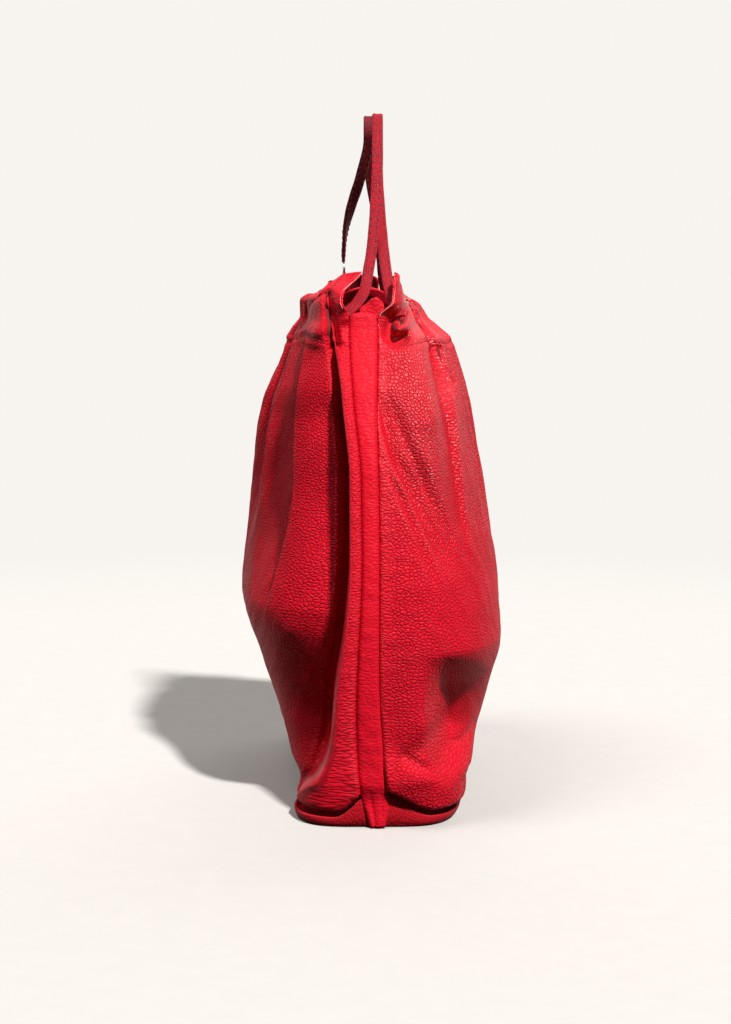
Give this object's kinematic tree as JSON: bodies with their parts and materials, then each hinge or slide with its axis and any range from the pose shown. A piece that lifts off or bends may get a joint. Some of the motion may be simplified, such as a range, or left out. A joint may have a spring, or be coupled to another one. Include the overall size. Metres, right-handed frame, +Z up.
{
  "type": "drawstring bag",
  "caption": "Soft leather drawstring bag on a flat base, with inset side strips, a gathered casing and stitched strap loops that swing and pull.",
  "frame": {"origin": "centre of the bag's outline, on the floor it stands on", "axes": "+X from the front panel to the back panel, +Y from the near side seam to the far side seam, +Z up"},
  "size_m": [0.1709, 0.301, 0.4375],
  "materials": {
    "panel_leather": "pebbled, soft gloss",
    "strip_leather": "pebbled, soft gloss",
    "base_leather": "pebbled, soft gloss",
    "facing_leather": "flesh side, matt",
    "strap_leather": "smooth, edge stitched",
    "ring_metal": "polished"
  },
  "bodies": {
    "bag": {"front_panel": "panel_leather", "back_panel": "panel_leather", "near_side_strip": "strip_leather", "far_side_strip": "strip_leather", "base_panel": "base_leather", "front_facing": "facing_leather", "back_facing": "facing_leather", "near_cord_run": "strap_leather", "far_cord_run": "strap_leather"},
    "near_cord": {"near_cord_ends": "strap_leather"},
    "near_handle": {"near_handle_strap": "strap_leather"},
    "far_cord": {"far_cord_ends": "strap_leather"},
    "far_handle": {"far_handle_strap": "strap_leather", "strap_ring": "ring_metal", "ring_tab": "strap_leather"}
  },
  "joints": [
    {"name": "near_cord_pull", "type": "slide", "parent": "bag", "child": "near_cord", "axis": [0, 0.5, 0.866], "range_m": [0, 0.012]},
    {"name": "near_handle_swing", "type": "hinge", "parent": "near_cord", "child": "near_handle", "pos_m": [0.001, -0.0754, 0.326], "axis": [1, 0, 0], "range_deg": [0, 135]},
    {"name": "far_cord_pull", "type": "slide", "parent": "bag", "child": "far_cord", "axis": [0, -0.5, 0.866], "range_m": [0, 0.012]},
    {"name": "far_handle_swing", "type": "hinge", "parent": "far_cord", "child": "far_handle", "pos_m": [-0.005, 0.0754, 0.326], "axis": [-1, 0, 0], "range_deg": [0, 135]}
  ]
}
